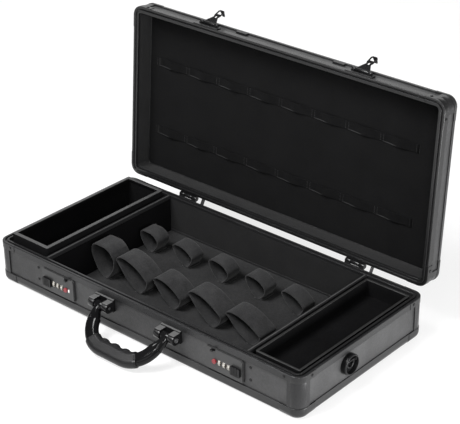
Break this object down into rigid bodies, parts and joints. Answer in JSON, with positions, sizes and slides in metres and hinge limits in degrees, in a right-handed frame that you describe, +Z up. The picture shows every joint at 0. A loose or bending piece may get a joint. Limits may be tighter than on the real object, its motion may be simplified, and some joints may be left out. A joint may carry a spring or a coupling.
{
  "type": "hairdresser case",
  "caption": "Open hard case with a hinged lid, latches with number dials, a carrying handle, side trays and elastic tool loops.",
  "frame": {"origin": "centre of the underside of the base, on the surface that the case stands on", "axes": "+X along the case to the right end seen from the front, +Y from the handle side to the hinge side, +Z up"},
  "size_m": [0.5728, 0.3988, 0.3546],
  "materials": {
    "shell": "fine grain",
    "frame": "satin black",
    "corner": "satin black",
    "lining": "woven lining",
    "tray": "fabric covered board",
    "elastic": "woven elastic",
    "steel": "brushed",
    "black_metal": "gloss black",
    "lock": "black",
    "dial": "ivory",
    "handle": "gloss black",
    "grip": "soft matte",
    "button": "red"
  },
  "bodies": {
    "base": {"base_bottom_panel": "shell", "base_wall_panels": "shell", "base_corner_posts": "frame", "base_rim_rails": "frame", "base_rim_corners": "corner", "base_edge_rails": "frame", "base_edge_corners": "corner", "base_floor_lining": "lining", "base_wall_lining": "lining", "dividers": "lining", "divider_edgings": "frame", "tray_ledges": "lining", "base_rivets": "black_metal", "hinge_base_leaves": "black_metal", "hinge_pins": "steel", "lid_stops": "black_metal", "lock_plates": "lock", "lock_housings": "lock", "dial_axles": "steel", "handle_brackets": "handle", "handle_pins": "steel", "strap_cups": "lock", "front_loops": "elastic", "rear_loops": "elastic"},
    "lid": {"lid_top_panel": "shell", "lid_wall_panels": "shell", "lid_corner_posts": "frame", "lid_rim_rails": "frame", "lid_rim_corners": "corner", "lid_edge_rails": "frame", "lid_edge_corners": "corner", "lid_top_lining": "lining", "lid_wall_lining": "lining", "lid_elastic_bands": "elastic", "lid_rivets": "black_metal", "lid_bumpers": "grip", "hinge_lid_leaves": "black_metal", "hasp_bases": "black_metal", "hasp_pins": "steel"},
    "left_hasp": {"left_hasp": "black_metal"},
    "right_hasp": {"right_hasp": "black_metal"},
    "handle": {"handle_frame": "handle", "handle_grip": "grip"},
    "left_dial_1": {"left_dial_1": "dial"},
    "left_dial_2": {"left_dial_2": "dial"},
    "left_dial_3": {"left_dial_3": "dial"},
    "left_slider": {"left_thumb_slider": "lock", "left_latch_slide": "steel"},
    "left_button": {"left_release_button": "button"},
    "left_strap_ring": {"left_strap_ring": "black_metal"},
    "left_tray": {"left_tray": "tray"},
    "right_dial_1": {"right_dial_1": "dial"},
    "right_dial_2": {"right_dial_2": "dial"},
    "right_dial_3": {"right_dial_3": "dial"},
    "right_slider": {"right_thumb_slider": "lock", "right_latch_slide": "steel"},
    "right_button": {"right_release_button": "button"},
    "right_strap_ring": {"right_strap_ring": "black_metal"},
    "right_tray": {"right_tray": "tray"}
  },
  "joints": [
    {"name": "lid_hinge", "type": "hinge", "parent": "base", "child": "lid", "pos_m": [0, 0.1394, 0.0673], "axis": [-1, 0, 0], "range_deg": [-94.5, 0]},
    {"name": "handle_swing", "type": "hinge", "parent": "base", "child": "handle", "pos_m": [0, -0.145, 0.045], "axis": [-1, 0, 0], "range_deg": [0, 108]},
    {"name": "left_hasp_swing", "type": "hinge", "parent": "lid", "child": "left_hasp", "pos_m": [-0.138, 0.16983, 0.34306], "axis": [-1, 0, 0], "range_deg": [-155, 0]},
    {"name": "left_dial_1_turn", "type": "hinge", "parent": "base", "child": "left_dial_1", "pos_m": [-0.148, -0.1322, 0.0345], "axis": [1, 0, 0], "continuous": true},
    {"name": "left_dial_2_turn", "type": "hinge", "parent": "base", "child": "left_dial_2", "pos_m": [-0.156, -0.1322, 0.0345], "axis": [1, 0, 0], "continuous": true},
    {"name": "left_dial_3_turn", "type": "hinge", "parent": "base", "child": "left_dial_3", "pos_m": [-0.164, -0.1322, 0.0345], "axis": [1, 0, 0], "continuous": true},
    {"name": "left_slider_push", "type": "slide", "parent": "base", "child": "left_slider", "axis": [-1, 0, 0], "range_m": [0, 0.0025], "stiffness_N_per_m": 80, "springref_m": -0.001},
    {"name": "left_button_press", "type": "slide", "parent": "base", "child": "left_button", "axis": [0, 1, 0], "range_m": [0, 0.0015], "stiffness_N_per_m": 60, "springref_m": -0.001},
    {"name": "left_ring_flip", "type": "hinge", "parent": "base", "child": "left_strap_ring", "pos_m": [-0.2822, -0.034, 0.0435], "axis": [0, 1, 0], "range_deg": [0, 90]},
    {"name": "left_tray_lift", "type": "slide", "parent": "base", "child": "left_tray", "axis": [0, 0, 1], "range_m": [0, 0.08]},
    {"name": "right_hasp_swing", "type": "hinge", "parent": "lid", "child": "right_hasp", "pos_m": [0.138, 0.16983, 0.34306], "axis": [-1, 0, 0], "range_deg": [-155, 0]},
    {"name": "right_dial_1_turn", "type": "hinge", "parent": "base", "child": "right_dial_1", "pos_m": [0.148, -0.1322, 0.0345], "axis": [1, 0, 0], "continuous": true},
    {"name": "right_dial_2_turn", "type": "hinge", "parent": "base", "child": "right_dial_2", "pos_m": [0.156, -0.1322, 0.0345], "axis": [1, 0, 0], "continuous": true},
    {"name": "right_dial_3_turn", "type": "hinge", "parent": "base", "child": "right_dial_3", "pos_m": [0.164, -0.1322, 0.0345], "axis": [1, 0, 0], "continuous": true},
    {"name": "right_slider_push", "type": "slide", "parent": "base", "child": "right_slider", "axis": [1, 0, 0], "range_m": [0, 0.0025], "stiffness_N_per_m": 80, "springref_m": -0.001},
    {"name": "right_button_press", "type": "slide", "parent": "base", "child": "right_button", "axis": [0, 1, 0], "range_m": [0, 0.0015], "stiffness_N_per_m": 60, "springref_m": -0.001},
    {"name": "right_ring_flip", "type": "hinge", "parent": "base", "child": "right_strap_ring", "pos_m": [0.2822, -0.034, 0.0435], "axis": [0, -1, 0], "range_deg": [0, 90]},
    {"name": "right_tray_lift", "type": "slide", "parent": "base", "child": "right_tray", "axis": [0, 0, 1], "range_m": [0, 0.08]}
  ]
}
